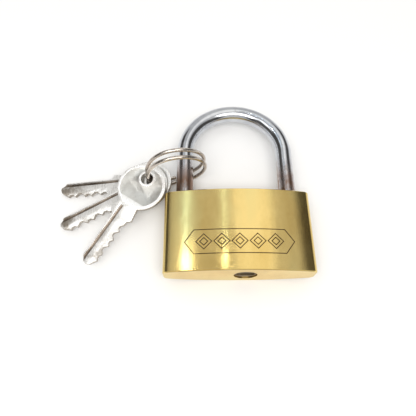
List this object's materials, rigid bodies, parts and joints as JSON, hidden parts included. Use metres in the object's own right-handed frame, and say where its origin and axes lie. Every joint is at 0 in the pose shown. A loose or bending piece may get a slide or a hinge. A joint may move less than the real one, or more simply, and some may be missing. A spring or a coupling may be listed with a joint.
{
  "type": "padlock",
  "caption": "Solid brass padlock with a long round shackle, pin-tumbler plug, sliding latch, and flat keys on a split ring.",
  "frame": {"origin": "centre of the keyhole face of the body, at mid-thickness", "axes": "+X across the body's width to the toe leg, +Y from the keyhole face towards the shackle crown, +Z out of the front face; the padlock lies on its back"},
  "size_m": [0.1064, 0.0809, 0.0263],
  "materials": {
    "body_brass": "worn satin",
    "plug_brass": "satin",
    "pin_brass": "satin",
    "latch_brass": "satin",
    "pin_steel": "satin",
    "shackle_chrome": "polished, lightly stained",
    "spring_steel": "drawn wire",
    "ring_nickel": "worn nickel plate",
    "key_nickel": "worn nickel plate"
  },
  "bodies": {
    "case": {"body": "body_brass", "heel_pin": "body_brass", "plug_pin": "pin_steel", "latch_bore_plug": "body_brass", "chamber_plug_1": "body_brass", "chamber_plug_2": "body_brass", "chamber_plug_3": "body_brass", "chamber_plug_4": "body_brass", "chamber_plug_5": "body_brass", "pin_spring_1": "spring_steel", "pin_spring_2": "spring_steel", "pin_spring_3": "spring_steel", "pin_spring_4": "spring_steel", "pin_spring_5": "spring_steel", "latch_spring": "spring_steel", "shackle_spring": "spring_steel"},
    "plug_unit": {"plug": "plug_brass", "cam": "plug_brass"},
    "latch": {"latch": "latch_brass"},
    "shackle": {"shackle": "shackle_chrome"},
    "split_ring": {"split_ring": "ring_nickel"},
    "key_1": {"key_1": "key_nickel"},
    "key_2": {"key_2": "key_nickel"},
    "key_3": {"key_3": "key_nickel"},
    "key_pin_1": {"key_pin_1": "pin_brass"},
    "driver_pin_1": {"driver_pin_1": "pin_brass"},
    "key_pin_2": {"key_pin_2": "pin_brass"},
    "driver_pin_2": {"driver_pin_2": "pin_brass"},
    "key_pin_3": {"key_pin_3": "pin_brass"},
    "driver_pin_3": {"driver_pin_3": "pin_brass"},
    "key_pin_4": {"key_pin_4": "pin_brass"},
    "driver_pin_4": {"driver_pin_4": "pin_brass"},
    "key_pin_5": {"key_pin_5": "pin_brass"},
    "driver_pin_5": {"driver_pin_5": "pin_brass"}
  },
  "joints": [
    {"name": "plug_turn", "type": "hinge", "parent": "case", "child": "plug_unit", "pos_m": [0.0023, 0, 0], "axis": [0, 1, 0], "range_deg": [0, 90]},
    {"name": "latch_slide", "type": "slide", "parent": "case", "child": "latch", "axis": [-1, 0, 0], "range_m": [0, 0.00511], "deforming": ["latch_spring"]},
    {"name": "shackle_lift", "type": "slide", "parent": "case", "child": "shackle", "axis": [0, 1, 0], "range_m": [0, 0.0076], "deforming": ["shackle_spring"]},
    {"name": "ring_swing", "type": "hinge", "parent": "shackle", "child": "split_ring", "pos_m": [-0.0219, 0, 0], "axis": [0, 1, 0], "range_deg": [0, 95]},
    {"name": "key_1_swing", "type": "hinge", "parent": "split_ring", "child": "key_1", "pos_m": [-0.0377, 0.0412, 0.0025], "axis": [-0.0667, -0.102, 0.9925], "range_deg": [-45, 3]},
    {"name": "key_2_swing", "type": "hinge", "parent": "split_ring", "child": "key_2", "pos_m": [-0.0357, 0.0415, -0.00015], "axis": [-0.101, -0.0512, 0.9936], "range_deg": [-40, 8]},
    {"name": "key_3_swing", "type": "hinge", "parent": "split_ring", "child": "key_3", "pos_m": [-0.0339, 0.0428, -0.00275], "axis": [-0.0904, -0.0058, 0.9959], "range_deg": [-30, 12]},
    {"name": "key_pin_1_drop", "type": "slide", "parent": "plug_unit", "child": "key_pin_1", "axis": [-1, 0, 0], "range_m": [0, 0.00205]},
    {"name": "driver_pin_1_push", "type": "slide", "parent": "case", "child": "driver_pin_1", "axis": [1, 0, 0], "range_m": [0, 0.002], "deforming": ["pin_spring_1"]},
    {"name": "key_pin_2_drop", "type": "slide", "parent": "plug_unit", "child": "key_pin_2", "axis": [-1, 0, 0], "range_m": [0, 0.00155]},
    {"name": "driver_pin_2_push", "type": "slide", "parent": "case", "child": "driver_pin_2", "axis": [1, 0, 0], "range_m": [0, 0.002], "deforming": ["pin_spring_2"]},
    {"name": "key_pin_3_drop", "type": "slide", "parent": "plug_unit", "child": "key_pin_3", "axis": [-1, 0, 0], "range_m": [0, 0.0022]},
    {"name": "driver_pin_3_push", "type": "slide", "parent": "case", "child": "driver_pin_3", "axis": [1, 0, 0], "range_m": [0, 0.002], "deforming": ["pin_spring_3"]},
    {"name": "key_pin_4_drop", "type": "slide", "parent": "plug_unit", "child": "key_pin_4", "axis": [-1, 0, 0], "range_m": [0, 0.0014]},
    {"name": "driver_pin_4_push", "type": "slide", "parent": "case", "child": "driver_pin_4", "axis": [1, 0, 0], "range_m": [0, 0.002], "deforming": ["pin_spring_4"]},
    {"name": "key_pin_5_drop", "type": "slide", "parent": "plug_unit", "child": "key_pin_5", "axis": [-1, 0, 0], "range_m": [0, 0.0019]},
    {"name": "driver_pin_5_push", "type": "slide", "parent": "case", "child": "driver_pin_5", "axis": [1, 0, 0], "range_m": [0, 0.002], "deforming": ["pin_spring_5"]}
  ],
  "couplings": [
    {"joint": "plug_turn", "follows": "shackle_lift", "rad_per_m": 206.68},
    {"joint": "latch_slide", "follows": "shackle_lift", "ratio": 0.66989}
  ]
}
